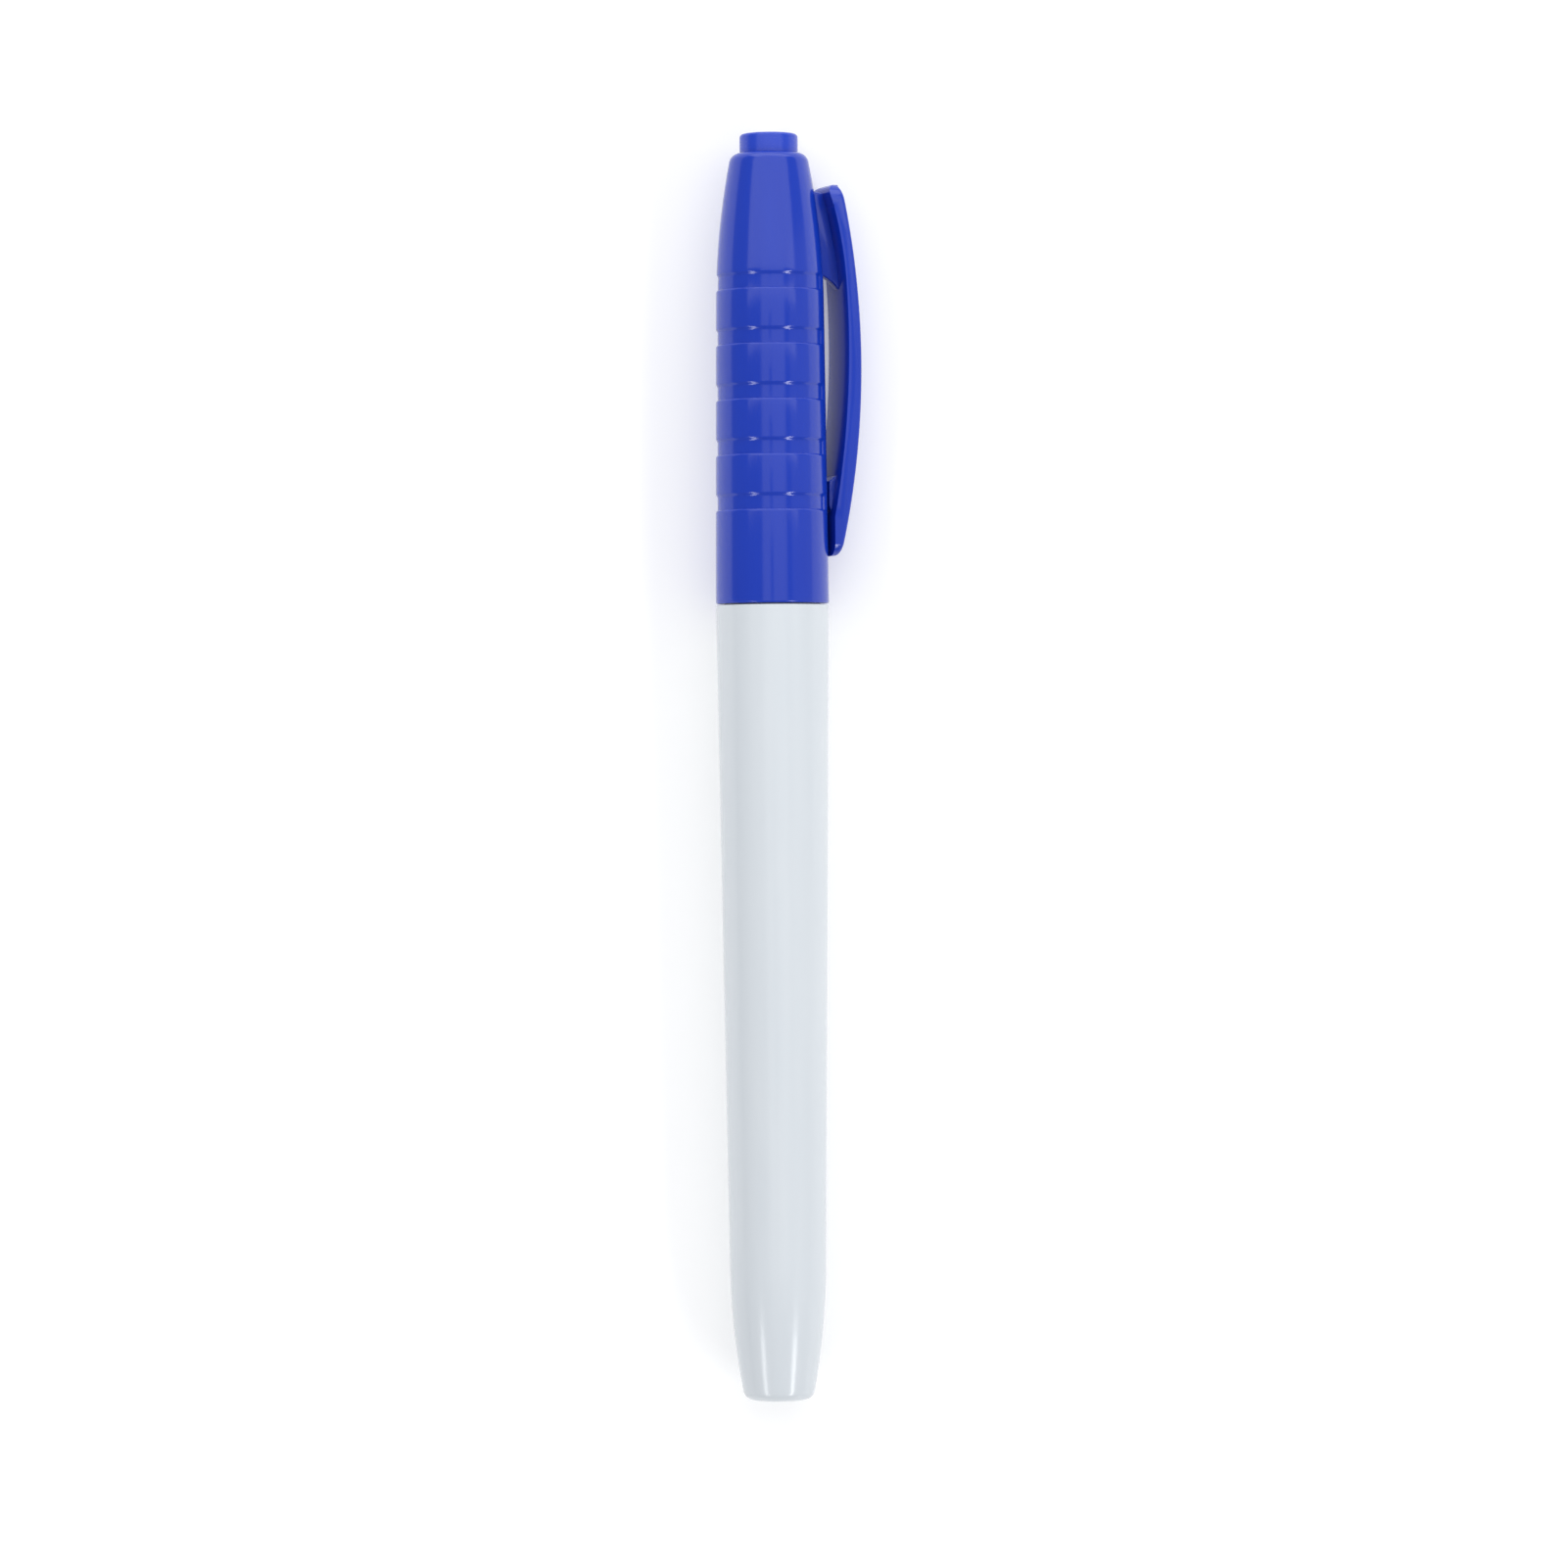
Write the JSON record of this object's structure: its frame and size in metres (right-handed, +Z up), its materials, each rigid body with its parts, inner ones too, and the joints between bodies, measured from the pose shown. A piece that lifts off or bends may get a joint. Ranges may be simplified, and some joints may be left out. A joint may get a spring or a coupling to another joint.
{
  "type": "fabric marking pen",
  "caption": "Capped fabric marking pen lying on its side: tapered white barrel, grooved blue cap with a pocket clip and a round end nub, fibre nib inside.",
  "frame": {"origin": "on the table under the middle of the pen's outline box, pen lying on its side", "axes": "+X along the pen from the barrel's closed tail to the cap's nub, +Z up from the table, and the clip points to -Y and a little down"},
  "size_m": [0.138, 0.0162, 0.0124],
  "materials": {
    "barrel_white": "satin gloss, moulded polypropylene",
    "section_white": "satin gloss, moulded polypropylene",
    "nib_fibre": "bonded polyester fibre soaked with blue ink",
    "reservoir_fibre": "polyester fibre core soaked with blue ink",
    "film": "thin clear film",
    "inner_cap_blue": "gloss, moulded polypropylene",
    "cap_blue": "gloss, moulded polypropylene"
  },
  "bodies": {
    "pen": {"barrel": "barrel_white", "front_section": "section_white", "nib": "nib_fibre", "ink_reservoir": "reservoir_fibre", "reservoir_film": "film"},
    "inner_cap": {"inner_cap": "inner_cap_blue"},
    "cap": {"outer_cap": "cap_blue", "clip_root": "cap_blue"},
    "clip": {"clip_arm": "cap_blue"}
  },
  "joints": [
    {"name": "cap_pull", "type": "slide", "parent": "pen", "child": "inner_cap", "axis": [1, 0, 0], "range_m": [0, 0.045]},
    {"name": "cap_twist", "type": "hinge", "parent": "inner_cap", "child": "cap", "pos_m": [0.041, 0.00189, 0.00618], "axis": [-1, 0, 0], "continuous": true},
    {"name": "clip_flex", "type": "hinge", "parent": "cap", "child": "clip", "pos_m": [0.051, -0.00617, 0.00308], "axis": [0, -0.3593, 0.9332], "range_deg": [0, 5], "stiffness_Nm_per_rad": 1}
  ]
}
